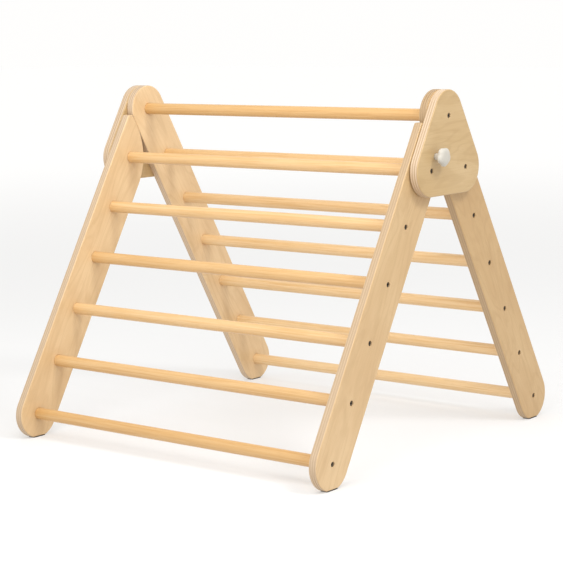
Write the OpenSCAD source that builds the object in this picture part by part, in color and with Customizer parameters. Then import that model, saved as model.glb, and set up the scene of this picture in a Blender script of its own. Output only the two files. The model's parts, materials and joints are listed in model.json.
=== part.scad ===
// Folding wooden climbing triangle: a rear ladder frame, a front ladder frame that swings on two
// pivot screws, and a rounded plate on each side that ties them together at the apex.
// X runs along the rungs, Y from the front frame to the rear frame, Z up. The origin is on the
// floor, midway between the feet and midway across the width.

/* [Frame] */
// Visible length of the rear rungs, between the inner faces of the rear rails
clear_width = 735; // [400:5:900]
// Distance from one rung to the next along a rail
rung_pitch = 118; // [116:1:130]
// Angle between each frame and the vertical, when open
lean = 30.5; // [30:0.5:34]
// Height of the lowest rungs' centre above the floor
foot_height = 48.5; // [45:0.5:49.5]

/* [Plywood] */
// Thickness of the plywood rails and plates
ply = 18; // [15:0.5:24]
// Width of a rail, which is also the diameter of its round ends
rail_w = 100; // [96:0.5:102]
// Distance from the apex rung's centre down to the flat tip of a front rail
tip_drop = 11; // [8:0.5:13]
// Distance from the pivot to the curved relief behind it on a front rail
relief = 40; // [37:0.5:44]
// Thickness of the rubber pad under each foot
pad_h = 1.5; // [1:0.5:3]

/* [Rungs] */
// Rung diameter
rung_d = 24; // [20:0.5:28]
// Depth of the blind socket that a rung end sits in
socket_depth = 6; // [4:0.5:8]

/* [Screws] */
// Diameter of a screw head
head_d = 9.6; // [8:0.1:11]
// Thickness of a screw head
head_h = 3; // [2:0.1:4]
// Depth of a screw head's top below the wood
head_sink = 2.4; // [0.2:0.1:3]
// Diameter of a screw's threaded shank
shank_d = 6; // [5:0.1:7]
// Length of thread inside a rung
bite = 38; // [25:1:45]
// Diameter of the pivot screw's plain shoulder
shoulder_d = 8; // [7:0.1:9]

/* [Locking knob] */
// Diameter over the knob's lobes
knob_d = 37; // [34:0.5:40]
// Thickness of the lobed head
knob_h = 12; // [9:0.5:15]
// Length of the plain neck under the head
neck_h = 12.5; // [8:0.5:18]
// Neck diameter
neck_d = 13; // [11:0.5:16]
// Stud diameter
stud_d = 8; // [6:0.5:8]
// Depth that the stud reaches into the front rail's groove
stud_reach = 6; // [4:0.5:7]
// Distance from the pivot to the stud
stud_radius = 29.5; // [27:0.5:31]
// Angle of the stud above the horizontal, seen from the pivot
stud_angle = 64; // [62:0.5:70]

/* [Hidden] */
$fn = 96;

REAR_RUNGS = 7;
FRONT_RUNGS = 6;
LOBES = 5;
LEFT = -1;
RIGHT = 1;

hinge_gap = 1;          // side gap between a plate and a front rail, filled by the pivot washer
stop_gap = 0.3;         // gap between a front rail's slanted cut and the rear rail
play = 0.1;             // slack round a part that is fixed in a hole
running = 0.06;         // radial clearance of a part that turns in a hole
head_play = 0.4;        // slack round a sunk screw head
stud_play = 0.02;       // slack round the stud where the knob is moulded on it
rail_r = rail_w / 2;
tip_round = 4;          // rounding of the two corners at a front rail's tip
pad_margin = 0.5;       // wood left bare round a foot pad
overshoot = 1;          // how far a cutting tool runs past a face

down_rear = [sin(lean), -cos(lean)];
down_front = [-sin(lean), -cos(lean)];
apex = [0, foot_height + (REAR_RUNGS - 1) * rung_pitch * cos(lean)];
pivot = apex + rung_pitch * down_front;
rear_end = apex + (REAR_RUNGS - 1) * rung_pitch * down_rear;
front_end = pivot + (FRONT_RUNGS - 1) * rung_pitch * down_front;
stud_at = pivot + stud_radius * [cos(stud_angle), sin(stud_angle)];
fold = 2 * lean;        // travel of the front frame, from open to flat against the rear frame

rear_in = clear_width / 2;               // inner face of a rear rail, from the middle
rear_out = rear_in + ply;
front_out = rear_out - hinge_gap;
front_in = front_out - ply;
plate_out = rear_out + ply;

pivot_washer_d = 22;
insert_d = 12;          // lock insert: outer diameter and length
insert_h = 12;
groove_depth = stud_reach + 0.3;
groove_w = stud_d + 2;
groove_spare = 3;       // extra groove at each end of the stud's travel, in degrees
washer_h = 1.2;         // lock washer, under the knob's neck
washer_d = neck_d;
seat_gap = 0.05;        // gap between faces of different bodies that only touch
hex_d = 4.6;            // width over the corners of a hexagon socket
hex_depth = 2.2;
stud_bite = 14;         // length of stud inside the knob

// A unit vector along v
function unit(v) = v / norm(v);

// Points round the corner b of the path a, b, c, with radius r
function corner(a, b, c, r, steps = 8) =
    let (u = unit(a - b), v = unit(c - b), half = acos(u * v) / 2,
        mid = b + unit(u + v) * r / sin(half),
        from = b + u * r / tan(half) - mid, to = b + v * r / tan(half) - mid,
        start = atan2(from.y, from.x), turn = atan2(to.y, to.x) - start,
        sweep = turn > 180 ? turn - 360 : turn < -180 ? turn + 360 : turn)
    [for (i = [0 : steps], a = start + sweep * i / steps) mid + r * [cos(a), sin(a)]];

// Where the line through p along u meets the line through q along v
function meet(p, u, q, v) =
    let (w = q - p, s = (w.x * v.y - w.y * v.x) / (u.x * v.y - u.y * v.x))
    p + s * u;

// The same shape on the right (side = 1) or mirrored to the left (side = -1)
module on_side(side) {
    if (side == RIGHT) children();
    else mirror([1, 0, 0]) children();
}

// A flat shape drawn in the Y-Z plane, extruded along X from x to x + h
module slab(x, h) {
    translate([x, 0, 0]) rotate([90, 0, 90]) linear_extrude(h) children();
}

// A round rod along X, from x0 to x1, at the point p of the Y-Z plane
module rod(p, d, x0, x1) {
    translate([x0, p.x, p.y]) rotate([0, 90, 0]) cylinder(d = d, h = x1 - x0);
}

// Discs of radius r at the points, anticlockwise, with everything between them filled in
module disc_hull(points, r) {
    if (len(points) > 2) polygon(points);
    for (i = [0 : len(points) - 1]) {
        a = points[i];
        b = points[(i + 1) % len(points)];
        translate(a) circle(r);
        translate(a) rotate(atan2(b.y - a.y, b.x - a.x)) translate([0, -r])
            square([norm(b - a), 2 * r]);
    }
}

// Everything below the flats that the feet stand on
module below_flats() {
    width = 4 * rung_pitch * REAR_RUNGS;
    translate([-width / 2, pad_h - 2 * rail_w]) square([width, 2 * rail_w]);
}

// Outline of a rear rail
module rear_rail_outline() {
    difference() {
        disc_hull([apex, rear_end], rail_r);
        below_flats();
    }
}

// Outline of a front rail: its slanted cut lies along the rear rail when open, and the curved
// relief behind the pivot lets the rail swing past it
module front_rail_outline() {
    front_edge = pivot + rail_r * [-cos(lean), sin(lean)];
    rear_edge = pivot + rail_r * [cos(lean), -sin(lean)];
    cut = apex - (rail_r + stop_gap) * [cos(lean), sin(lean)];
    top = [0, apex.y - tip_drop];
    tip_front = meet(front_edge, down_front, top, [1, 0]);
    tip_rear = meet(cut, down_rear, top, [1, 0]);
    knee = meet(cut, down_rear, rear_edge, down_front);
    relief_r = (knee.x - pivot.x - relief) * cos(lean) / (1 - cos(lean));
    foot_rear = front_end + rail_r * [cos(lean), -sin(lean)];
    foot_front = front_end + rail_r * [-cos(lean), sin(lean)];
    difference() {
        union() {
            polygon([
                foot_front,
                foot_rear,
                each corner(foot_rear, knee, tip_rear, relief_r, 24),
                each corner(knee, tip_rear, tip_front, tip_round),
                each corner(tip_rear, tip_front, foot_front, tip_round)]);
            translate(front_end) circle(rail_r);
        }
        below_flats();
    }
}

// Recess, clearance hole and rung socket of one rung, cut into wood from face x0 out to face x1
module rung_cut(p, x0, x1) {
    rod(p, rung_d + 2 * play, x0 - overshoot, x0 + socket_depth);
    rod(p, shank_d + 2 * play, x0, x1);
    rod(p, head_d + 2 * head_play, x1 - head_sink - head_h - play, x1 + overshoot);
}

// Rung screw with a hexagon socket: its head is sunk in the face x1 and it ends in a rung
// whose end lies at x0
module rung_screw(p, x0, x1) {
    top = x1 - head_sink;
    difference() {
        union() {
            rod(p, head_d, top - head_h, top);
            rod(p, shank_d, x0 - bite, top - head_h + seat_gap);
        }
        translate([top - hex_depth, p.x, p.y]) rotate([0, 90, 0])
            cylinder(d = hex_d, h = hex_depth + overshoot, $fn = 6);
    }
}

module rear_rail(side) {
    color("#dcbb8c") on_side(side) difference() {
        slab(rear_in, ply) rear_rail_outline();
        for (i = [0 : 1]) {
            at = apex + i * rung_pitch * down_rear;
            rod(at, rung_d + 2 * play, rear_in - overshoot, rear_in + socket_depth);
            rod(at, shank_d + 2 * play, rear_in, rear_out + overshoot);
        }
        for (i = [2 : REAR_RUNGS - 1]) rung_cut(apex + i * rung_pitch * down_rear, rear_in, rear_out);
    }
}

module front_rail(side) {
    color("#e4c79d") on_side(side) difference() {
        slab(front_in, ply) front_rail_outline();
        rod(pivot, rung_d + 2 * play, front_in - overshoot, front_in + socket_depth);
        rod(pivot, shank_d + 2 * play, front_in, front_out + overshoot);
        for (i = [1 : FRONT_RUNGS - 1]) rung_cut(pivot + i * rung_pitch * down_front, front_in, front_out);
        lock_groove();
    }
}

// Curved blind groove that the lock stud's tip runs in while the front frame folds
module lock_groove() {
    first = stud_angle - fold - groove_spare;
    sweep = fold + 2 * groove_spare;
    floor_x = front_out - groove_depth;
    translate([floor_x, pivot.x, pivot.y]) rotate([90, 0, 90]) rotate(first)
        rotate_extrude(angle = sweep) translate([stud_radius - groove_w / 2, 0])
            square([groove_w, groove_depth + overshoot]);
    for (a = [first, first + sweep])
        rod(pivot + stud_radius * [cos(a), sin(a)], groove_w, floor_x, front_out + overshoot);
}

module apex_plate(side) {
    color("#d8b684") on_side(side) difference() {
        slab(rear_out, ply) disc_hull([apex, pivot, apex + rung_pitch * down_rear], rail_r);
        for (p = [apex, apex + rung_pitch * down_rear]) {
            rod(p, shank_d + 2 * play, rear_out - overshoot, plate_out);
            rod(p, head_d + 2 * head_play, plate_out - head_sink - head_h - play, plate_out + overshoot);
        }
        rod(pivot, shoulder_d + 2 * running, rear_out - overshoot, plate_out);
        rod(pivot, head_d + 2 * head_play, plate_out - head_sink - head_h - play, plate_out + overshoot);
        rod(stud_at, insert_d + 2 * play, rear_out - overshoot, rear_out + insert_h + play);
        rod(stud_at, stud_d + 1, rear_out, plate_out + overshoot);
    }
}

// Rubber pad under the foot whose round end is centred on p, on a rail from x0 to x1
module foot_pad(side, p, x0, x1) {
    flat = 2 * sqrt(pow(rail_r, 2) - pow(p.y - pad_h, 2));
    color("#2e2b28") on_side(side) translate([x0 + pad_margin, p.x - flat / 2 + pad_margin, 0])
        cube([x1 - x0 - 2 * pad_margin, flat - 2 * pad_margin, pad_h]);
}

// A rung between two inner faces at +-inner, with a pilot hole for a screw in each end
module rung(p, inner) {
    end = inner + socket_depth - play;
    color("#e9bf80") difference() {
        rod(p, rung_d, -end, end);
        for (side = [LEFT, RIGHT]) on_side(side)
            rod(p, shank_d + 2 * play, end - bite - socket_depth, end + overshoot);
    }
}

module rear_rung(i) {
    rung(apex + (i - 1) * rung_pitch * down_rear, rear_in);
}

module front_rung(i) {
    rung(pivot + (i - 1) * rung_pitch * down_front, front_in);
}

module rear_screws(side) {
    color("#8d8b86") on_side(side) for (i = [2 : REAR_RUNGS - 1])
        rung_screw(apex + i * rung_pitch * down_rear, rear_in + socket_depth, rear_out);
}

module front_screws(side) {
    color("#8d8b86") on_side(side) for (i = [1 : FRONT_RUNGS - 1])
        rung_screw(pivot + i * rung_pitch * down_front, front_in + socket_depth, front_out);
}

// The two long screws that hold a plate to its rear rail and to the two top rungs
module plate_screws(side) {
    color("#8d8b86") on_side(side) for (i = [0 : 1])
        rung_screw(apex + i * rung_pitch * down_rear, rear_in + socket_depth, plate_out);
}

// The pivot screw: its shoulder turns in the plate, its thread is fixed in the front frame
module pivot_screw(side) {
    color("#8d8b86") on_side(side) union() {
        rung_screw(pivot, front_in + socket_depth, plate_out);
        rod(pivot, shoulder_d, front_out, plate_out - head_sink - head_h);
    }
}

module pivot_washer(side) {
    color("#e8e6df") on_side(side) difference() {
        rod(pivot, pivot_washer_d, front_out, rear_out - seat_gap);
        rod(pivot, shoulder_d + 2 * play, front_out - overshoot, rear_out + overshoot);
    }
}

module lock_insert(side) {
    color("#b8a66a") on_side(side) difference() {
        rod(stud_at, insert_d, rear_out, rear_out + insert_h);
        rod(stud_at, stud_d + 2 * running, rear_out - overshoot, rear_out + insert_h + overshoot);
    }
}

module lock_washer(side) {
    color("#c9c7c2") on_side(side) difference() {
        rod(stud_at, washer_d, plate_out + seat_gap, plate_out + seat_gap + washer_h);
        rod(stud_at, stud_d + 2 * running, plate_out - overshoot, plate_out + washer_h + overshoot);
    }
}

module lock_stud(side) {
    neck = plate_out + 2 * seat_gap + washer_h;
    color("#9c9a95") on_side(side) rod(stud_at, stud_d, front_out - stud_reach, neck + stud_bite);
}

// Star-shaped knob: a round neck and a head with five lobes, one of them pointing down
module lock_knob(side) {
    neck = plate_out + 2 * seat_gap + washer_h;
    lobe_r = knob_d * 0.17;
    core_r = knob_d * 0.4;
    color("#efece3") on_side(side) difference() {
        union() {
            rod(stud_at, neck_d, neck, neck + neck_h + seat_gap);
            slab(neck + neck_h, knob_h) translate(stud_at) {
                circle(core_r);
                for (i = [0 : LOBES - 1]) rotate(i * 360 / LOBES - 90) {
                    translate([knob_d / 2 - lobe_r, 0]) circle(lobe_r);
                    translate([0, -lobe_r]) square([knob_d / 2 - lobe_r, 2 * lobe_r]);
                }
            }
        }
        rod(stud_at, stud_d + 2 * stud_play, neck - overshoot, neck + stud_bite + play);
    }
}

rear_rail(LEFT);  // rear_rail_left
rear_rail(RIGHT);  // rear_rail_right
front_rail(LEFT);  // front_rail_left
front_rail(RIGHT);  // front_rail_right
apex_plate(LEFT);  // apex_plate_left
apex_plate(RIGHT);  // apex_plate_right
for (i = [1 : REAR_RUNGS]) rear_rung(i);
for (i = [1 : FRONT_RUNGS]) front_rung(i);
foot_pad(LEFT, rear_end, rear_in, rear_out);  // foot_pad_rear_left
foot_pad(RIGHT, rear_end, rear_in, rear_out);  // foot_pad_rear_right
foot_pad(LEFT, front_end, front_in, front_out);  // foot_pad_front_left
foot_pad(RIGHT, front_end, front_in, front_out);  // foot_pad_front_right
rear_screws(LEFT);  // rear_screws_left
rear_screws(RIGHT);  // rear_screws_right
front_screws(LEFT);  // front_screws_left
front_screws(RIGHT);  // front_screws_right
plate_screws(LEFT);  // plate_screws_left
plate_screws(RIGHT);  // plate_screws_right
pivot_screw(LEFT);  // pivot_screw_left
pivot_screw(RIGHT);  // pivot_screw_right
pivot_washer(LEFT);  // pivot_washer_left
pivot_washer(RIGHT);  // pivot_washer_right
lock_insert(LEFT);  // lock_insert_left
lock_insert(RIGHT);  // lock_insert_right
lock_washer(LEFT);  // lock_washer_left
lock_washer(RIGHT);  // lock_washer_right
lock_stud(LEFT);  // lock_stud_left
lock_stud(RIGHT);  // lock_stud_right
lock_knob(LEFT);  // lock_knob_left
lock_knob(RIGHT);  // lock_knob_right
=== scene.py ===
"""Looks of the folding climbing triangle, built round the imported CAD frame.

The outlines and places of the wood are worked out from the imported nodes. Points written as (y, z)
lie in the side view of the frame, and X runs along the rungs.
"""

import json
import math

import bmesh
import bpy
from mathutils import Matrix, Vector


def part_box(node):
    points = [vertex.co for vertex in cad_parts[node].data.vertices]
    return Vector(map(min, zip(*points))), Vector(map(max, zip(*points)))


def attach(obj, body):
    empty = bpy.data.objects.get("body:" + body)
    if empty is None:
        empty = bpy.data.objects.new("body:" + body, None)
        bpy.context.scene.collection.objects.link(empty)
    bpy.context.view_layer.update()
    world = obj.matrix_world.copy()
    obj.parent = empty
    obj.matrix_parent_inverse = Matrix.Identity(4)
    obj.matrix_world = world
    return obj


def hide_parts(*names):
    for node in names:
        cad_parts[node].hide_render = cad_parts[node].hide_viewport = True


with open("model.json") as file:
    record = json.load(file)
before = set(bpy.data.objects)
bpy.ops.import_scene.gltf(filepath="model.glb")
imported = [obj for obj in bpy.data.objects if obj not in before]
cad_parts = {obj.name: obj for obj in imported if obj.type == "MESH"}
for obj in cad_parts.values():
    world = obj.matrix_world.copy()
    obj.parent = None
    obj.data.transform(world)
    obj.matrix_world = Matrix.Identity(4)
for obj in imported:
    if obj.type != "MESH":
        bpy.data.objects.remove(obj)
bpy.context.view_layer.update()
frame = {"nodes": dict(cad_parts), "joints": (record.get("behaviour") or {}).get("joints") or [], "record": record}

MM = 0.001
SIDES = {"left": -1, "right": 1}
REAR_RUNGS = 7
FRONT_RUNGS = 6

BODY_OF = {n: body for body, nodes in frame["record"]["behaviour"]["bodies"].items() for n in nodes}
SLOT_OF = {s["node"]: s["material_slot"] for s in frame["record"]["subparts"]}

# Boards and rungs, where the CAD nodes' boxes don't give the size
EDGE_ROUND = 2.6 * MM       # round-over along the edges of the boards
STOP_GAP = 0.3 * MM         # gap between a front rail's slanted cut and the rear rail
TIP_ROUND = 4 * MM          # rounding of the front rails' upper corners
SOCKET_DEPTH = 6 * MM       # blind sockets that the rungs sit in
SOCKET_PLAY = 0.1 * MM
SOCKET_RIM = 0.4 * MM       # softened rim of a socket
RUNG_SOFT = 1 * MM          # rounding of the rungs' ends

# Fineness of the meshes
ROUND_STEPS = 5             # facets in each round-over
RELIEF_STEPS = 20           # facets in the front rails' curved relief
HOLE_STEP = 11.25           # degrees between points round a bore
GROOVE_STEP = 15            # degrees between points round a groove's ends
SCREW_POINTS = 36
KNOB_POINTS = 120
WELD = 1e-7                 # points this near each other are one point
SHARP = 38                  # degrees between faces beyond which an edge stays sharp
KNOB_SHARP = 50

# Screws
HEAD_R = 4.8 * MM
HEAD_SINK = 2.4 * MM
HEAD_H = 3 * MM
HEAD_PLAY = 0.4 * MM
HEAD_RIM = 0.35 * MM        # softened rim of a head's recess
HEAD_SOFT = 0.5 * MM        # rounding of a head's own rim
HEAD_MID = 0.3              # depth of the middle of that rounding, as a share of it
SHANK_R = 3 * MM
SHANK_PLAY = 0.1 * MM
BITE = 38 * MM              # thread inside a rung
POINT_H = 3 * MM            # tapered point of a screw, and the blunt end of the point
BLUNT_R = 0.9 * MM
BLUNT_H = 0.4 * MM
SHOULDER_R = 4 * MM         # the pivot screws' plain shoulder
SHOULDER_PLAY = 0.06 * MM
HEX_R = 2.3 * MM            # hexagon sockets, over the corners
HEX_DEPTH = 2.2 * MM
HEX_LEAD = 0.3 * MM         # lead-in round the hexagon, and how deep it goes
HEX_LEAD_H = 0.2 * MM
HEX_CONE_H = 0.5 * MM       # drilled cone below the hexagon

# Locks and knobs
GROOVE_W = 10 * MM          # lock groove in the front rails
GROOVE_DEPTH = 6.3 * MM
GROOVE_SPARE = 3            # degrees of groove beyond the stud's travel, at each end
STUD_PLAY = 0.5 * MM
STUD_HOLE_R = 4.02 * MM     # hole in a knob's neck that the stud is moulded into
STUD_HOLE_H = 6 * MM
NECK_R = 6.5 * MM
NECK_H = 12.5 * MM
NECK_RIM = 0.4 * MM
NECK_FLARE = [              # distance below the head, and how far the neck has flared there
    (3 * MM, 0),
    (1.2 * MM, 0.5 * MM),
    (0.3 * MM, 1.6 * MM),
    (0, 3 * MM),
]
LOBES = 5                   # lobes of a knob's head
FIRST_LOBE = -90            # degrees
LOBE_POWER = 0.8            # below 1, the lobes are broader than the valleys
VALLEY = 0.87               # radius between lobes, as a share of the head's radius
VALLEY_FADE = 0.012         # how much shallower the valleys get at each ring of the dome
GRIP_ROUND = 3.2 * MM       # rounding under the lobes
GRIP_RINGS = 6
DOME_H = 7.5 * MM           # domed outer face
DOME_SPAN = 13 * MM
DOME_RINGS = 10
CROWN = 0.16                # radius of the dome's flat crown, as a share of the head's radius
CROWN_DROP = 0.03 * MM

# Foot pads
PAD_CORNER = 3 * MM
PAD_RIM = 0.3 * MM

# How the wood was cut, how golden each rung is, and the painted shade on each board
PLY_LAYERS = 7
REAR_VENEER = (2.1, 0.9)    # place in the sheet of the middle between the two sides' boards, and
FRONT_VENEER = (5.3, 0.7)   # how far each of them is from it
PLATE_VENEER = (8.2, 0.4)
SHEET_SLOPE = 0.37          # how far across the sheet a board lies, for its place along it
PITH_AWAY = 21 * MM         # from a rung's middle to the middle of the tree it was cut from
FIRST_ROD = 0.6             # direction of that middle for the first rung, in radians
NEXT_ROD = 1.7              # how far it turns from one rung to the next
TONE_REACH = 0.65           # length of veneer over which its tone changes
REAR_SHADE = {-1: (0.0, 0.05), 1: (1.0, 0.75)}     # painted shade at the top and at the foot, on each side; strongest on the right-hand boards
FRONT_SHADE = {-1: (0.15, 0.25), 1: (0.80, 0.2)}
RUNG_TONES = {              # how golden each rung is, from the top down
    "rear": (0.95, 0.45, 0.3, 0.1, 0.15, 0.15, 0.0),
    "front": (0.55, 0.45, 0.75, 0.45, 0.7, 0.9),
}


# ---------------------------------------------------------------- places taken from the frame

def middle(node):
    """The (y, z) middle of a CAD node."""
    lo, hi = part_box(node)
    return Vector(((lo.y + hi.y) / 2, (lo.z + hi.z) / 2))


def x_faces(node):
    """The inner and outer distance from the middle plane of a node on the right."""
    lo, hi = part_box(node)
    return lo.x, hi.x


fold = next(j for j in frame["joints"] if j["name"] == "frame_fold")
FOLD_RANGE = fold["range_deg"][1]
PIVOT = Vector(fold["pos_m"][1:])
REAR_AT = [middle(f"rear_rung_{i}") for i in range(1, REAR_RUNGS + 1)]
FRONT_AT = [middle(f"front_rung_{i}") for i in range(1, FRONT_RUNGS + 1)]
APEX = REAR_AT[0]
DOWN_REAR = (REAR_AT[-1] - APEX).normalized()
DOWN_FRONT = (FRONT_AT[-1] - PIVOT).normalized()
plate_lo, plate_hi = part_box("apex_plate_right")
RAIL_R = (plate_hi.y - plate_lo.y - (REAR_AT[1].x - PIVOT.x)) / 2
TIP_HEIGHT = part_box("front_rail_right")[1].z
RELIEF_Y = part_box("front_rail_right")[1].y
FOOT_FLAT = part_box("rear_rail_right")[0].z
STUD = middle("lock_stud_right")
REAR_IN, REAR_OUT = x_faces("rear_rail_right")
FRONT_IN, FRONT_OUT = x_faces("front_rail_right")
PLATE_IN, PLATE_OUT = x_faces("apex_plate_right")
RUNG_R = (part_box("rear_rung_1")[1].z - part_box("rear_rung_1")[0].z) / 2


# ---------------------------------------------------------------- outlines in the (y, z) plane

def polar(mid, r, degrees):
    a = math.radians(degrees)
    return mid + r * Vector((math.cos(a), math.sin(a)))


def angle_of(v):
    return math.degrees(math.atan2(v.y, v.x))


def arc(mid, r, start, sweep, step=4):
    """Points along an arc that starts at an angle and sweeps anticlockwise, in degrees."""
    count = max(2, round(abs(sweep) / step))
    return [polar(mid, r, start + sweep * i / count) for i in range(count + 1)]


def outward(a, b):
    """Unit normal on the right of the way from a to b: outward on an anticlockwise outline."""
    d = (b - a).normalized()
    return Vector((d.y, -d.x))


def disc_hull(mids, r):
    """Outline round discs of radius r about points listed anticlockwise."""
    points = []
    for i, mid in enumerate(mids):
        before, after = mids[i - 1], mids[(i + 1) % len(mids)]
        start = angle_of(outward(before, mid))
        sweep = (angle_of(outward(mid, after)) - start) % 360
        points += arc(mid, r, start, sweep)
    return points


def cut_flat(points, z):
    """The part of an outline above z, with a flat where it is cut."""
    kept = []
    for a, b in zip(points, points[1:] + points[:1]):
        if a.y >= z:
            kept.append(a)
        if (a.y >= z) != (b.y >= z):
            kept.append(a.lerp(b, (a.y - z) / (a.y - b.y)))
    return kept


def meet(p, u, q, v):
    """Where the line through p along u meets the line through q along v."""
    w = q - p
    return p + u * (w.x * v.y - w.y * v.x) / (u.x * v.y - u.y * v.x)


def corner(a, b, c, r, steps=6):
    """The corner b of a convex, anticlockwise outline a, b, c, rounded with radius r."""
    start = angle_of(outward(a, b))
    sweep = (angle_of(outward(b, c)) - start) % 360
    mid = b - r * (outward(a, b) + outward(b, c)) / (1 + outward(a, b).dot(outward(b, c)))
    return arc(mid, r, start, sweep, sweep / steps)


def rear_rail_outline():
    return cut_flat(disc_hull([APEX, REAR_AT[-1]], RAIL_R), FOOT_FLAT)


def front_rail_outline():
    """A round foot, and a fin whose slanted cut lies along the rear rail, above a curved relief."""
    end = FRONT_AT[-1]
    to_rear = outward(end, PIVOT)
    along_y = Vector((1, 0))
    cut = APEX - (RAIL_R + STOP_GAP) * outward(REAR_AT[-1], APEX)
    tip = Vector((0, TIP_HEIGHT))
    tip_front = meet(PIVOT - RAIL_R * to_rear, DOWN_FRONT, tip, along_y)
    tip_rear = meet(cut, DOWN_REAR, tip, along_y)
    knee = meet(cut, DOWN_REAR, PIVOT + RAIL_R * to_rear, DOWN_FRONT)
    cos_lean = -DOWN_FRONT.y
    relief_r = (knee.x - RELIEF_Y) * cos_lean / (1 - cos_lean)
    foot_front, foot_rear = end - RAIL_R * to_rear, end + RAIL_R * to_rear
    return cut_flat([
        *arc(end, RAIL_R, angle_of(-to_rear), 180),
        *corner(foot_rear, knee, tip_rear, relief_r, RELIEF_STEPS),
        *corner(knee, tip_rear, tip_front, TIP_ROUND),
        *corner(tip_rear, tip_front, foot_front, TIP_ROUND),
    ], FOOT_FLAT)


def plate_outline():
    return disc_hull([PIVOT, REAR_AT[1], APEX], RAIL_R)


def groove_outline():
    """The curved groove in a front rail that the lock stud's tip runs in."""
    r = (STUD - PIVOT).length
    last = angle_of(STUD - PIVOT) + GROOVE_SPARE
    sweep = FOLD_RANGE + 2 * GROOVE_SPARE
    first = last - sweep
    far = arc(PIVOT, r + GROOVE_W / 2, first, sweep)
    near = arc(PIVOT, r - GROOVE_W / 2, first, sweep)
    round_last = arc(polar(PIVOT, r, last), GROOVE_W / 2, last, 180, GROOVE_STEP)
    round_first = arc(polar(PIVOT, r, first), GROOVE_W / 2, first + 180, 180, GROOVE_STEP)
    return far[:-1] + round_last[:-1] + near[::-1][:-1] + round_first[:-1]


def inset(points, d):
    """A convex outline moved inwards by d."""
    moved = []
    for i, p in enumerate(points):
        n0, n1 = outward(points[i - 1], p), outward(p, points[(i + 1) % len(points)])
        moved.append(p - d * (n0 + n1) / (1 + n0.dot(n1)))
    return moved


# ---------------------------------------------------------------- meshes

def ring(bm, x, points):
    return [bm.verts.new((x, p.x, p.y)) for p in points]


def join_rings(bm, rings):
    """Quads between neighbouring rings that have the same number of points."""
    for a, b in zip(rings, rings[1:]):
        for i in range(len(a)):
            j = (i + 1) % len(a)
            bm.faces.new((a[i], a[j], b[j], b[i]))


def loop_edges(bm, verts):
    return [bm.edges.get((v, verts[(i + 1) % len(verts)])) for i, v in enumerate(verts)]


def round_steps(r, steps=ROUND_STEPS):
    """(distance along, inset) pairs of a quarter round, from the face to the side."""
    angles = [math.pi / 2 * i / steps for i in range(steps + 1)]
    return [(r * (1 - math.cos(a)), r * (1 - math.sin(a))) for a in angles]


def finish_mesh(bm, name, side, sharp=SHARP):
    """Turns bm into an object, mirrored for the left side, smooth apart from its sharp edges."""
    bmesh.ops.remove_doubles(bm, verts=bm.verts, dist=WELD)
    if side < 0:
        bmesh.ops.transform(bm, matrix=Matrix.Scale(-1, 4, (1, 0, 0)), verts=bm.verts)
    bmesh.ops.recalc_face_normals(bm, faces=bm.faces)
    for face in bm.faces:
        face.smooth = True
    for edge in bm.edges:
        edge.smooth = edge.is_manifold and edge.calc_face_angle() < math.radians(sharp)
    mesh = bpy.data.meshes.new(name)
    bm.to_mesh(mesh)
    bm.free()
    obj = bpy.data.objects.new(name, mesh)
    bpy.context.scene.collection.objects.link(obj)
    weighted = obj.modifiers.new("flat_faces", "WEIGHTED_NORMAL")
    weighted.keep_sharp = True
    return obj


def mark_rod(obj, pith, tone):
    """Stores each point's place in a turned rod, measured from the middle of its growth rings,
    and how golden the rod is."""
    places = [c for v in obj.data.vertices for c in v.co - pith]
    tones = [tone] * len(obj.data.vertices)
    obj.data.attributes.new("wood_at", "FLOAT_VECTOR", "POINT").data.foreach_set("vector", places)
    obj.data.attributes.new("wood_tone", "FLOAT", "POINT").data.foreach_set("value", tones)


def mark_board(obj, origin, grain, inner, seed, tone=(0.0, 0.0)):
    """Stores each point's place in the plywood (along the grain, across it, and through the
    board), how far its edge cuts across the grain, and how much painted shade darkens its veneer.
    tone is that painted shade at the origin and at TONE_REACH along the grain."""
    across = Vector((0, -grain.z, grain.y))
    thinnest = 0.05     # length of a normal's (y, z) part below which it belongs to a face
    places, ends, tones = [], [], []
    for v in obj.data.vertices:
        d = v.co - origin
        along = d.dot(grain)
        places += [along + seed, d.dot(across) + seed * SHEET_SLOPE, abs(v.co.x) - inner]
        edge_way = Vector((0, v.normal.y, v.normal.z))
        ends.append(abs(edge_way.normalized().dot(grain)) if edge_way.length > thinnest else 0.0)
        share = min(max(along / TONE_REACH, 0), 1)
        tones.append(tone[0] + (tone[1] - tone[0]) * share)
    obj.data.attributes.new("wood_at", "FLOAT_VECTOR", "POINT").data.foreach_set("vector", places)
    obj.data.attributes.new("wood_end", "FLOAT", "POINT").data.foreach_set("value", ends)
    obj.data.attributes.new("wood_tone", "FLOAT", "POINT").data.foreach_set("value", tones)


def board(name, outline, faces, bores, side, pocket=None):
    """A board with rounded edges. bores are (middle, [(x, radius), ...]) from face to face."""
    inner, outer = faces
    steps = round_steps(EDGE_ROUND)
    levels = [(inner + along, d) for along, d in steps]
    levels += [(outer - along, d) for along, d in reversed(steps)]
    bm = bmesh.new()
    rings = [ring(bm, x, inset(outline, d)) for x, d in levels]
    join_rings(bm, rings)
    inner_edges, outer_edges = loop_edges(bm, rings[0]), loop_edges(bm, rings[-1])
    for mid, profile in bores:
        hole = [ring(bm, x, arc(mid, r, 0, 360, HOLE_STEP)[:-1]) for x, r in profile]
        join_rings(bm, hole)
        inner_edges += loop_edges(bm, hole[0])
        outer_edges += loop_edges(bm, hole[-1])
    if pocket:
        walls = [ring(bm, outer, pocket), ring(bm, outer - GROOVE_DEPTH, pocket)]
        join_rings(bm, walls)
        bm.faces.new(walls[1])
        outer_edges += loop_edges(bm, walls[0])
    for edges in (inner_edges, outer_edges):
        bmesh.ops.triangle_fill(bm, use_beauty=True, use_dissolve=False, edges=edges)
    return finish_mesh(bm, name, side)


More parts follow.
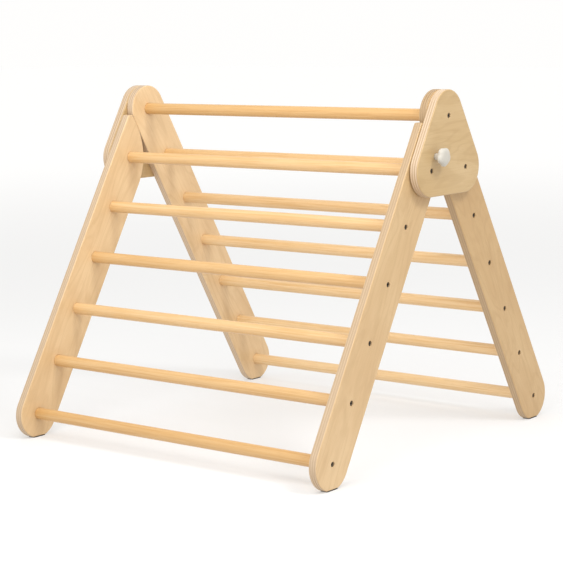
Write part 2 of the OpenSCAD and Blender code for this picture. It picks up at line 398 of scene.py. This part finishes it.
def hexagon(degrees):
    """Radius of a hexagon at an angle, as a share of its radius over the corners."""
    return math.cos(math.radians(30)) / math.cos(math.radians(degrees % 60 - 30))


def turned(bm, mid, profile, points=48):
    """Rings of (x, radius, shape) about mid, closed where they end in radius 0.
    shape gives the radius at an angle as a share of the round one, or is None."""
    rings = []
    for x, r, shape in profile:
        if r == 0:
            rings.append([bm.verts.new((x, mid.x, mid.y))])
            continue
        angles = [360 * i / points for i in range(points)]
        rings.append(ring(bm, x, [polar(mid, r * (shape(a) if shape else 1), a) for a in angles]))
    for a, b in zip(rings, rings[1:]):
        for i in range(points):
            j = (i + 1) % points
            loop = [a[0], b[j], b[i]] if len(a) == 1 else [a[i], a[j], b[0]]
            bm.faces.new(loop if 1 in (len(a), len(b)) else (a[i], a[j], b[j], b[i]))


def place(obj, *nodes):
    """obj stands for CAD nodes of one body, in their material slot."""
    obj.data.materials.append(MATERIALS[SLOT_OF[nodes[0]]])
    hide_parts(*nodes)
    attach(obj, BODY_OF[nodes[0]])


# ---------------------------------------------------------------- materials

class Nodes:
    """Short ways to add nodes to a node tree."""

    def __init__(self, tree):
        self.tree = tree

    def link(self, value, socket):
        if isinstance(value, bpy.types.NodeSocket):
            self.tree.links.new(value, socket)
        else:
            socket.default_value = value

    def add(self, kind, *values, out=0, **settings):
        node = self.tree.nodes.new(kind)
        for key, value in settings.items():
            setattr(node, key, value)
        for socket, value in zip(node.inputs, values):
            if value is not None:
                self.link(value, socket)
        return node.outputs[out]

    def math(self, operation, *values):
        return self.add("ShaderNodeMath", *values, operation=operation)

    def remap(self, value, low, high, to_low=0.0, to_high=1.0):
        node = self.tree.nodes.new("ShaderNodeMapRange")
        node.interpolation_type = "SMOOTHSTEP"
        for socket, v in zip(node.inputs, (value, low, high, to_low, to_high)):
            self.link(v, socket)
        return node.outputs[0]

    def noise(self, vector, scale, detail=3.0, rough=0.55, distort=0.0):
        node = self.tree.nodes.new("ShaderNodeTexNoise")
        self.link(vector, node.inputs["Vector"])
        node.inputs["Scale"].default_value = scale
        node.inputs["Detail"].default_value = detail
        node.inputs["Roughness"].default_value = rough
        node.inputs["Distortion"].default_value = distort
        return node.outputs["Fac"]

    def stretch(self, vector, scale):
        return self.add("ShaderNodeVectorMath", vector, scale, operation="MULTIPLY")

    def mix(self, factor, a, b, blend="MIX"):
        node = self.tree.nodes.new("ShaderNodeMix")
        node.data_type = "RGBA"
        node.blend_type = blend
        for socket, v in zip((node.inputs[0], node.inputs[6], node.inputs[7]), (factor, a, b)):
            self.link(v, socket)
        return node.outputs[2]

    def split(self, vector):
        return self.add("ShaderNodeSeparateXYZ", vector, out=slice(None))


class Material(Nodes):
    """A node material with one Principled shader."""

    def __init__(self, name):
        self.material = bpy.data.materials.new(name)
        self.material.use_nodes = True
        super().__init__(self.material.node_tree)
        self.shader = self.tree.nodes["Principled BSDF"]

    def bump(self, height, strength, distance):
        node = self.tree.nodes.new("ShaderNodeBump")
        node.inputs["Strength"].default_value = strength
        node.inputs["Distance"].default_value = distance
        self.link(height, node.inputs["Height"])
        self.link(node.outputs[0], self.shader.inputs["Normal"])

    def set(self, **values):
        for key, value in values.items():
            self.link(value, self.shader.inputs[key.replace("_", " ")])
        return self.material


def darker(colour, share):
    """A colour made darker, and warmer as it darkens."""
    return (colour[0] * share, colour[1] * share ** 1.25, colour[2] * share ** 1.6, 1)


def wood_place(n):
    """The stored place in the wood."""
    return n.add("ShaderNodeAttribute", attribute_name="wood_at", out=1)


def birch_ply(name, pale, deep, lines):
    """Lacquered birch plywood: rotary-cut face veneers, and layers that show on the edges."""
    n = Material(name)
    at = wood_place(n)
    through = n.split(at)[2]
    thickness = REAR_OUT - REAR_IN
    depth = n.math("MULTIPLY", through, PLY_LAYERS / thickness)
    from_face = n.math("MINIMUM", depth, n.math("SUBTRACT", float(PLY_LAYERS), depth))
    in_layer = n.math("PINGPONG", depth, 1.0)
    wander = n.noise(n.stretch(at, (3, 13, 3)), 1.0, 2.0, 0.5, 0.6)
    contours = n.math("SINE", n.math("MULTIPLY", wander, 60.0))
    blotch = n.noise(n.stretch(at, (10, 24, 10)), 1.0, 3.0, 0.6, 0.5)
    streaks = n.noise(n.stretch(at, (5, 75, 40)), 1.0, 3.0, 0.6)
    fine = n.noise(n.stretch(at, (14, 620, 620)), 1.0, 3.0, 0.6)
    flecks = n.noise(n.stretch(at, (95, 1500, 1500)), 1.0, 1.0, 0.5)
    cloud = n.noise(n.stretch(at, (4, 9, 4)), 1.0, 3.0, 0.6)
    face = n.mix(n.remap(cloud, 0.3, 0.72), pale, deep)
    face = n.mix(n.remap(blotch, 0.48, 0.72, 0.0, 0.5), face, darker(deep, 0.9))
    face = n.mix(n.remap(streaks, 0.5, 0.75, 0.0, 0.4), face, darker(deep, 0.9))
    face = n.mix(n.remap(contours, 0.3, 1.0, 0.0, lines), face, darker(deep, 0.85))
    face = n.mix(n.remap(fine, 0.45, 0.75, 0.0, 0.25), face, darker(deep, 0.82))
    face = n.mix(n.remap(flecks, 0.68, 0.8, 0.0, 0.30), face, darker(deep, 0.6))
    ends = n.add("ShaderNodeAttribute", attribute_name="wood_end", out=2)
    cross_layer = n.math("GREATER_THAN", n.math("MODULO", depth, 2.0), 1.0)
    cut_across = n.math("ABSOLUTE", n.math("SUBTRACT", cross_layer, n.remap(ends, 0.45, 0.9)))
    end_grain = n.noise(n.stretch(at, (420, 420, 900)), 1.0, 2.0, 0.6)
    long_grain = n.noise(n.stretch(at, (20, 20, 1600)), 1.0, 2.0, 0.6)
    light_layer = n.mix(n.remap(long_grain, 0.35, 0.7, 0.0, 0.35), EDGE_PALE, EDGE_DARK)
    dark_layer = n.mix(n.remap(end_grain, 0.3, 0.75, 0.2, 0.8), EDGE_DARK, darker(EDGE_DARK, 0.8))
    layer_dark = n.math("MULTIPLY", cut_across, n.remap(ends, 0.3, 0.9, 0.45, 0.9))
    edge = n.mix(layer_dark, light_layer, dark_layer)
    seam = n.math("ABSOLUTE", n.math("SUBTRACT", n.math("FRACT", n.math("ADD", depth, 0.5)), 0.5))
    edge = n.mix(n.remap(seam, 0.03, 0.12, 0.35, 0.0), edge, darker(EDGE_DARK, 0.7))
    colour = n.mix(n.remap(from_face, 0.25, 0.95), face, edge)
    tone = n.add("ShaderNodeAttribute", attribute_name="wood_tone", out=2)
    # painted shade: the stored tone darkens the boards' colour, most on the right-hand boards and there most at
    # the top
    colour = n.mix(tone, colour, SHADE_TINT, blend="MULTIPLY")
    rough = n.remap(fine, 0.3, 0.7, 0.40, 0.52)
    relief = n.math("ADD", n.math("MULTIPLY", fine, 0.6), n.math("MULTIPLY", in_layer, 0.15))
    n.bump(relief, 0.22, 0.0004)
    return n.set(Base_Color=colour, Roughness=rough)


def rung_wood(name, pale, deep, streak):
    """Turned hardwood: growth rings that the round rod cuts into lengthwise streaks."""
    n = Material(name)
    at = wood_place(n)
    _, back, up = n.split(at)
    from_pith = n.math("SQRT", n.math("ADD", n.math("POWER", back, 2.0), n.math("POWER", up, 2.0)))
    drift = n.noise(n.stretch(at, (5, 30, 30)), 1.0, 2.0, 0.5)
    turns = n.math("ADD", n.math("MULTIPLY", from_pith, 2600.0), n.math("MULTIPLY", drift, 9.0))
    rings = n.math("SINE", turns)
    fine = n.noise(n.stretch(at, (22, 900, 900)), 1.0, 3.0, 0.6)
    broad = n.noise(n.stretch(at, (3.2, 60, 60)), 1.0, 2.0, 0.5)
    pores = n.noise(n.stretch(at, (140, 2400, 2400)), 1.0, 1.0, 0.5)
    streaks = n.noise(n.stretch(at, (7, 300, 300)), 1.0, 2.0, 0.55)
    colour = n.mix(n.remap(rings, -0.4, 1.0, 0.0, 0.4), pale, deep)
    colour = n.mix(n.remap(streaks, 0.45, 0.68, 0.0, 0.65), colour, n.mix(0.35, deep, streak))
    colour = n.mix(n.remap(broad, 0.5, 0.78, 0.0, 0.6), colour, deep)
    colour = n.mix(n.remap(fine, 0.5, 0.8, 0.0, 0.4), colour, streak)
    colour = n.mix(n.remap(pores, 0.66, 0.8, 0.0, 0.4), colour, streak)
    tone = n.add("ShaderNodeAttribute", attribute_name="wood_tone", out=2)
    colour = n.mix(tone, colour, RUNG_GOLD, blend="MULTIPLY")
    n.bump(n.math("ADD", fine, n.math("MULTIPLY", rings, 0.12)), 0.18, 0.0003)
    return n.set(Base_Color=colour, Roughness=n.remap(fine, 0.3, 0.7, 0.34, 0.46))


def object_place(n):
    return n.add("ShaderNodeTexCoord", out=3)


def metal(name, colour, rough, tarnish):
    """Plated or plain metal, with fine scratches and dull patches."""
    n = Material(name)
    at = object_place(n)
    scratches = n.noise(n.stretch(at, (300, 5200, 5200)), 1.0, 2.0, 0.6)
    patches = n.noise(at, 420.0, 3.0, 0.6)
    shade = n.mix(n.remap(patches, 0.4, 0.75, 0.0, tarnish), colour, [c * 0.5 for c in colour[:3]] + [1])
    n.bump(scratches, 0.12, 0.00005)
    rough_by = n.remap(scratches, 0.3, 0.7, rough - 0.07, rough + 0.1)
    return n.set(Base_Color=shade, Roughness=rough_by, Metallic=1.0)


def moulded_plastic(name, colour, rough, hollow_shade):
    """Moulded plastic: fine spark-eroded texture, faint flow marks, and painted shade that darkens its hollows."""
    n = Material(name)
    at = object_place(n)
    grain = n.noise(at, 2600.0, 2.0, 0.6)
    flow = n.noise(at, 120.0, 3.0, 0.5, 0.8)
    shade = n.mix(n.remap(flow, 0.35, 0.75, 0.0, 0.5), colour, [c * 0.93 for c in colour[:3]] + [1])
    # painted shade: hollows, such as the neck under a knob's head, are darkened in the colour
    hollow = n.add("ShaderNodeNewGeometry", out=7)
    shade = n.mix(n.remap(hollow, 0.40, 0.5, hollow_shade, 0.0), shade, [c * 0.6 for c in colour[:3]] + [1])
    n.bump(grain, 0.10, 0.0001)
    return n.set(Base_Color=shade, Roughness=n.remap(grain, 0.3, 0.7, rough - 0.05, rough + 0.08))


def rubber(name, colour):
    """Dull rubber with dust in its pores."""
    n = Material(name)
    at = object_place(n)
    pores = n.noise(at, 1900.0, 3.0, 0.65)
    dust = n.noise(at, 260.0, 3.0, 0.6)
    shade = n.mix(n.remap(dust, 0.5, 0.8, 0.0, 0.5), colour, (0.16, 0.15, 0.13, 1))
    n.bump(pores, 0.3, 0.0002)
    return n.set(Base_Color=shade, Roughness=n.remap(pores, 0.3, 0.7, 0.72, 0.9))


FACE_PALE = (0.75, 0.545, 0.315, 1)
FACE_DEEP = (0.675, 0.465, 0.25, 1)
PLATE_PALE = (0.57, 0.405, 0.21, 1)
PLATE_DEEP = (0.51, 0.345, 0.16, 1)
EDGE_PALE = (0.63, 0.485, 0.335, 1)
EDGE_DARK = (0.46, 0.315, 0.19, 1)
# painted shade: the colour that the boards' stored tone darkens them towards
SHADE_TINT = (0.72, 0.655, 0.53, 1)
RUNG_PALE = (0.78, 0.565, 0.32, 1)
RUNG_DEEP = (0.70, 0.455, 0.205, 1)
RUNG_STREAK = (0.57, 0.325, 0.116, 1)
RUNG_GOLD = (0.78, 0.66, 0.48, 1)

MATERIALS = {
    "birch_ply_rail": birch_ply("birch_ply_rail", FACE_PALE, FACE_DEEP, 0.25),
    "birch_ply_plate": birch_ply("birch_ply_plate", PLATE_PALE, PLATE_DEEP, 0.32),
    "rung_wood": rung_wood("rung_wood", RUNG_PALE, RUNG_DEEP, RUNG_STREAK),
    # painted shade: the screws are coloured near black to stand in for the shade in their sunk recesses
    "screw_steel": metal("screw_steel", (0.13, 0.115, 0.10, 1), 0.45, 0.5),
    "washer_steel": metal("washer_steel", (0.62, 0.61, 0.59, 1), 0.30, 0.3),
    "brass_insert": metal("brass_insert", (0.70, 0.55, 0.28, 1), 0.36, 0.4),
    "nylon": moulded_plastic("nylon", (0.78, 0.76, 0.70, 1), 0.5, 0.2),
    "knob_plastic": moulded_plastic("knob_plastic", (0.52, 0.49, 0.43, 1), 0.42, 0.35),
    # painted shadow as well as pad colour: the pads' near black also stands in for the contact shadow under the
    # feet
    "pad_rubber": rubber("pad_rubber", (0.035, 0.031, 0.028, 1)),
}


# ---------------------------------------------------------------- pieces of the climbing triangle

def head_recess(outer):
    """The recess that a screw's head is sunk in, with a softened rim."""
    r = HEAD_R + HEAD_PLAY
    floor = outer - HEAD_SINK - HEAD_H - SHANK_PLAY
    rim = [(outer - HEAD_RIM, r), (outer, r + HEAD_RIM)]
    return [(floor, SHANK_R + SHANK_PLAY), (floor, r)] + rim


def socket(inner):
    """The blind socket for a rung's end, with a softened rim."""
    r = RUNG_R + SOCKET_PLAY
    floor = inner + SOCKET_DEPTH
    rim = [(inner, r + SOCKET_RIM), (inner + SOCKET_RIM, r)]
    return rim + [(floor, r), (floor, SHANK_R + SHANK_PLAY)]


def veneer(sheet, side):
    """The place in the sheet that a board on one side is cut from."""
    return sheet[0] + side * sheet[1]


def rear_rail(name, side):
    faces = (REAR_IN, REAR_OUT)
    under_plate = [(REAR_OUT, SHANK_R + SHANK_PLAY)]
    bores = [(p, socket(REAR_IN) + under_plate) for p in REAR_AT[:2]]
    bores += [(p, socket(REAR_IN) + head_recess(REAR_OUT)) for p in REAR_AT[2:]]
    obj = board(name, rear_rail_outline(), faces, bores, side)
    seed, tone = veneer(REAR_VENEER, side), REAR_SHADE[side]
    mark_board(obj, Vector((0, *APEX)), Vector((0, *DOWN_REAR)), REAR_IN, seed, tone)
    return obj


def front_rail(name, side):
    faces = (FRONT_IN, FRONT_OUT)
    bores = [(PIVOT, socket(FRONT_IN) + [(FRONT_OUT, SHANK_R + SHANK_PLAY)])]
    bores += [(p, socket(FRONT_IN) + head_recess(FRONT_OUT)) for p in FRONT_AT[1:]]
    obj = board(name, front_rail_outline(), faces, bores, side, groove_outline())
    seed, tone = veneer(FRONT_VENEER, side), FRONT_SHADE[side]
    mark_board(obj, Vector((0, *PIVOT)), Vector((0, *DOWN_FRONT)), FRONT_IN, seed, tone)
    return obj


def apex_plate(name, side):
    faces = (PLATE_IN, PLATE_OUT)
    shank = [(PLATE_IN, SHANK_R + SHANK_PLAY)]
    bores = [(p, shank + head_recess(PLATE_OUT)) for p in REAR_AT[:2]]
    shoulder = SHOULDER_R + SHOULDER_PLAY
    recess = head_recess(PLATE_OUT)
    recess[0] = (recess[0][0], shoulder)
    bores.append((PIVOT, [(PLATE_IN, shoulder)] + recess))
    insert_lo, insert_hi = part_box("lock_insert_right")
    insert_r = (insert_hi.z - insert_lo.z) / 2 + SHANK_PLAY
    insert_end = insert_hi.x + SHANK_PLAY
    stud_lo, stud_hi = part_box("lock_stud_right")
    stud_r = (stud_hi.z - stud_lo.z) / 2 + STUD_PLAY
    insert_bore = [(PLATE_IN, insert_r), (insert_end, insert_r)]
    bores.append((STUD, insert_bore + [(insert_end, stud_r), (PLATE_OUT, stud_r)]))
    obj = board(name, plate_outline(), faces, bores, side)
    along_y = Vector((0, 1, 0))
    mark_board(obj, Vector((0, *PIVOT)), along_y, PLATE_IN, veneer(PLATE_VENEER, side))
    return obj


def rung(name, node, cut, tone):
    """A turned rod with softened ends and a pilot hole for a screw in each end.
    cut is the direction of the tree's pith, in radians."""
    end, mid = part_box(node)[1].x, middle(node)
    soft, bore_r = RUNG_SOFT, SHANK_R + SHANK_PLAY
    bore_end = end - BITE - SOCKET_DEPTH
    half = [(bore_end, 0, None), (bore_end, bore_r, None)]
    half += [(end, bore_r, None), (end, RUNG_R - soft, None)]
    half += [(end - soft + soft * math.cos(a), RUNG_R - soft + soft * math.sin(a), None)
             for a in (math.pi / 6, math.pi / 3, math.pi / 2)]
    bm = bmesh.new()
    turned(bm, mid, half + [(-x, r, shape) for x, r, shape in reversed(half)])
    obj = finish_mesh(bm, name, 1)
    pith = Vector((0, mid.x + PITH_AWAY * math.sin(cut), mid.y + PITH_AWAY * math.cos(cut)))
    mark_rod(obj, pith, tone)
    return obj


def screw_profile(start, outer, shoulder_from=None):
    """A screw from its tip at start to its head, sunk in the face at outer."""
    top = outer - HEAD_SINK
    under, hex_end = top - HEAD_H, top - HEX_DEPTH
    soft, mid_soft = HEAD_SOFT, HEAD_SOFT * HEAD_MID
    point = [(start, 0, None), (start + BLUNT_H, BLUNT_R, None), (start + POINT_H, SHANK_R, None)]
    shank = [(under, SHANK_R, None)]
    if shoulder_from is not None:
        shank = [(shoulder_from, SHANK_R, None), (shoulder_from, SHOULDER_R, None)]
        shank += [(under, SHOULDER_R, None)]
    head = [(under, HEAD_R, None), (top - soft, HEAD_R, None)]
    head += [(top - mid_soft, HEAD_R - mid_soft, None), (top, HEAD_R - soft, None)]
    hollow = [(top, HEX_R + HEX_LEAD, None), (top - HEX_LEAD_H, HEX_R, hexagon)]
    hollow += [(hex_end, HEX_R, hexagon), (hex_end - HEX_CONE_H, 0, None)]
    return point + shank + head + hollow


def screws(name, places, start, outer, side, shoulder_from=None):
    bm = bmesh.new()
    for mid in places:
        turned(bm, mid, screw_profile(start, outer, shoulder_from), points=SCREW_POINTS)
    return finish_mesh(bm, name, side)


def lobed(count, valley, first):
    """Shape of a star grip: valley is the radius between lobes, as a share of the full radius,
    and first is the angle of a lobe in degrees."""
    def share(degrees):
        wave = 0.5 + 0.5 * math.cos(math.radians(count * (degrees - first)))
        return valley + (1 - valley) * wave ** LOBE_POWER
    return share


def neck_profile(base, under):
    """A round neck from its end at base, with the stud's hole in it, to the flare at under."""
    hole_end = base + STUD_HOLE_H
    hole = [(hole_end, 0, None), (hole_end, STUD_HOLE_R, None), (base, STUD_HOLE_R, None)]
    rim = [(base, NECK_R - NECK_RIM, None), (base + NECK_RIM, NECK_R, None)]
    flare = [(under - back, NECK_R + out, None) for back, out in NECK_FLARE]
    return hole + rim + flare


def grip_profile(under, top, grip_r):
    """A head with soft lobes under a dome on which they fade."""
    profile = []
    star = lobed(LOBES, VALLEY, FIRST_LOBE)
    for i in range(GRIP_RINGS + 1):
        a = math.pi / 2 * i / GRIP_RINGS
        out = grip_r - GRIP_ROUND * (1 - math.sin(a))
        profile.append((under + GRIP_ROUND * (1 - math.cos(a)), out, star))
    for i in range(1, DOME_RINGS):
        a = math.pi / 2 * i / DOME_RINGS
        out = grip_r - DOME_SPAN * (1 - math.cos(a))
        faded = lobed(LOBES, VALLEY + VALLEY_FADE * i, FIRST_LOBE)
        profile.append((top - DOME_H * (1 - math.sin(a)), out, faded))
    return profile + [(top - CROWN_DROP, grip_r * CROWN, None), (top, 0, None)]


def star_knob(name, side):
    """A moulded grip: a round neck that flares into a head with five soft lobes."""
    lo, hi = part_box("lock_knob_right")
    under = lo.x + NECK_H
    bm = bmesh.new()
    profile = neck_profile(lo.x, under) + grip_profile(under, hi.x, STUD.y - lo.z)
    turned(bm, STUD, profile, points=KNOB_POINTS)
    return finish_mesh(bm, name, side, sharp=KNOB_SHARP)


def foot_pad(name, side, node):
    """A thin rubber pad with softened corners and rims; its near black also stands in for the painted contact
    shadow under the foot.
    """
    lo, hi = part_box(node)
    r, rim = PAD_CORNER, PAD_RIM
    mids = [Vector((lo.x + r, lo.y + r)), Vector((hi.x - r, lo.y + r)),
            Vector((hi.x - r, hi.y - r)), Vector((lo.x + r, hi.y - r))]
    outline = disc_hull(mids, r)
    bm = bmesh.new()
    levels = [(lo.z, rim), (lo.z + rim, 0), (hi.z - rim, 0), (hi.z, rim)]
    rings = [[bm.verts.new((p.x, p.y, z)) for p in inset(outline, d)] for z, d in levels]
    join_rings(bm, rings)
    bm.faces.new(rings[0])
    bm.faces.new(rings[-1])
    return finish_mesh(bm, name, side)


def build_wood():
    makers = {"rear_rail": rear_rail, "front_rail": front_rail, "apex_plate": apex_plate}
    for kind, make in makers.items():
        for side_name, side in SIDES.items():
            node = f"{kind}_{side_name}"
            place(make(node + "_look", side), node)
    rungs = [(f"{end}_rung_{i}", tone)
             for end, tones in RUNG_TONES.items()
             for i, tone in enumerate(tones, 1)]
    for i, (node, tone) in enumerate(rungs):
        place(rung(node + "_look", node, NEXT_ROD * i + FIRST_ROD, tone), node)


def build_fittings():
    rear_tip, front_tip = REAR_IN + SOCKET_DEPTH - BITE, FRONT_IN + SOCKET_DEPTH - BITE
    for side_name, side in SIDES.items():
        sets = {
            "rear_screws": (REAR_AT[2:], rear_tip, REAR_OUT, None),
            "front_screws": (FRONT_AT[1:], front_tip, FRONT_OUT, None),
            "plate_screws": (REAR_AT[:2], rear_tip, PLATE_OUT, None),
            "pivot_screw": ([PIVOT], front_tip, PLATE_OUT, FRONT_OUT),
        }
        for kind, (places, tip, outer, shoulder_from) in sets.items():
            node = f"{kind}_{side_name}"
            place(screws(node + "_look", places, tip, outer, side, shoulder_from), node)
        node = f"lock_knob_{side_name}"
        place(star_knob(node + "_look", side), node)
        for end in ("front", "rear"):
            node = f"foot_pad_{end}_{side_name}"
            place(foot_pad(node + "_look", side, f"foot_pad_{end}_right"), node)


def dress_cad_nodes():
    """The hidden fittings keep their CAD shape and get their finish."""
    for kind in ("pivot_washer", "lock_insert", "lock_washer", "lock_stud"):
        for side_name in SIDES:
            node = f"{kind}_{side_name}"
            obj = frame["nodes"][node]
            obj.data.materials.clear()
            obj.data.materials.append(MATERIALS[SLOT_OF[node]])


# ---------------------------------------------------------------- studio

WARM_WHITE = (1.0, 0.995, 0.985, 1)
FLOOR_HALF = 25.0
FLOOR_GREY = (0.50, 0.50, 0.50, 1)
FLOOR_GLOW_NEAR = 0.385     # the floor is lit from under, more strongly far away
FLOOR_GLOW_FAR = 0.54
GLOW_NEAR_TO = 1.5          # distance that the weak glow reaches, and where the strong one starts
GLOW_FAR_FROM = 8.0
SKY_SIDES = 0.44            # brightness of the surroundings
SKY_TOP = 0.75
SKY_ENDS = 1.1              # extra light from the front and the back
HORIZON_FULL = 0.08         # height of the white horizon, as the sine of the angle
HORIZON_END = 0.30
KEY_AT = (2.2, -0.25, 2.7)
KEY_AIM = (0, 0, 0.4)
KEY_SIZE = 0.8
KEY_POWER = 35.5
INNER_AT = (0.3, -1.05, 1.45)          # lights the far side's inner faces
INNER_AIM = (-0.37, 0, 0.45)
INNER_SIZE = 1.0
INNER_POWER = 12
EYE_FROM_APEX = Vector((2.2192, -2.8469, 0.1763))
EYE_TURN = (-8.312, 0.859, 38.035)     # pitch, roll and yaw in degrees
EYE_LENS = 112.45


def build_floor():
    bm = bmesh.new()
    bmesh.ops.create_grid(bm, x_segments=1, y_segments=1, size=FLOOR_HALF)
    mesh = bpy.data.meshes.new("floor")
    bm.to_mesh(mesh)
    bm.free()
    floor = bpy.data.objects.new("floor", mesh)
    bpy.context.scene.collection.objects.link(floor)
    n = Material("floor_paper")
    away = n.add("ShaderNodeVectorMath", object_place(n), operation="LENGTH", out=1)
    glow = n.remap(away, GLOW_NEAR_TO, GLOW_FAR_FROM, FLOOR_GLOW_NEAR, FLOOR_GLOW_FAR)
    n.set(Base_Color=FLOOR_GREY, Roughness=0.9, Specular_IOR_Level=0.0)
    n.set(Emission_Color=WARM_WHITE, Emission_Strength=glow)
    mesh.materials.append(n.material)


def build_world():
    """Soft light from all round, strongest from the front and back, with a white horizon."""
    world = bpy.data.worlds.new("studio")
    world.use_nodes = True
    n = Nodes(world.node_tree)
    _, back, up = n.split(n.add("ShaderNodeTexCoord"))
    ends = n.math("MULTIPLY", n.math("POWER", back, 2.0), SKY_ENDS)
    sky = n.math("ADD", n.remap(up, 0.0, 1.0, SKY_SIDES, SKY_TOP), ends)
    horizon = n.remap(up, HORIZON_FULL, HORIZON_END, 1.0, 0.0)
    to_white = n.math("MULTIPLY", horizon, n.math("SUBTRACT", 1.0, sky))
    background = n.tree.nodes["Background"]
    background.inputs["Color"].default_value = WARM_WHITE
    n.link(n.math("ADD", sky, to_white), background.inputs["Strength"])
    bpy.context.scene.world = world


def build_light(name, at, aim, size, power):
    data = bpy.data.lights.new(name, "AREA")
    data.size = size
    data.energy = power
    light = bpy.data.objects.new(name, data)
    light.location = at
    light.rotation_euler = (Vector(aim) - Vector(at)).to_track_quat("-Z", "Y").to_euler()
    light.visible_camera = False
    bpy.context.scene.collection.objects.link(light)


def build_camera():
    data = bpy.data.cameras.new("camera")
    data.lens = EYE_LENS
    data.clip_end = 100
    data.dof.use_dof = False
    camera = bpy.data.objects.new("camera", data)
    pitch, roll, yaw = (math.radians(a) for a in EYE_TURN)
    turn = Matrix.Rotation(yaw, 4, "Z") @ Matrix.Rotation(pitch, 4, "X") @ Matrix.Rotation(roll, 4, "Y")
    upright = Matrix.Rotation(math.pi / 2, 4, "X")
    camera.matrix_world = Matrix.Translation(Vector((0, *APEX)) + EYE_FROM_APEX) @ turn @ upright
    bpy.context.scene.collection.objects.link(camera)
    bpy.context.scene.camera = camera


def build_studio():
    build_floor()
    build_world()
    build_light("key", KEY_AT, KEY_AIM, KEY_SIZE, KEY_POWER)
    build_light("inner", INNER_AT, INNER_AIM, INNER_SIZE, INNER_POWER)
    build_camera()
    bpy.context.scene.view_settings.view_transform = "Standard"


build_wood()
build_fittings()
dress_cad_nodes()
build_studio()
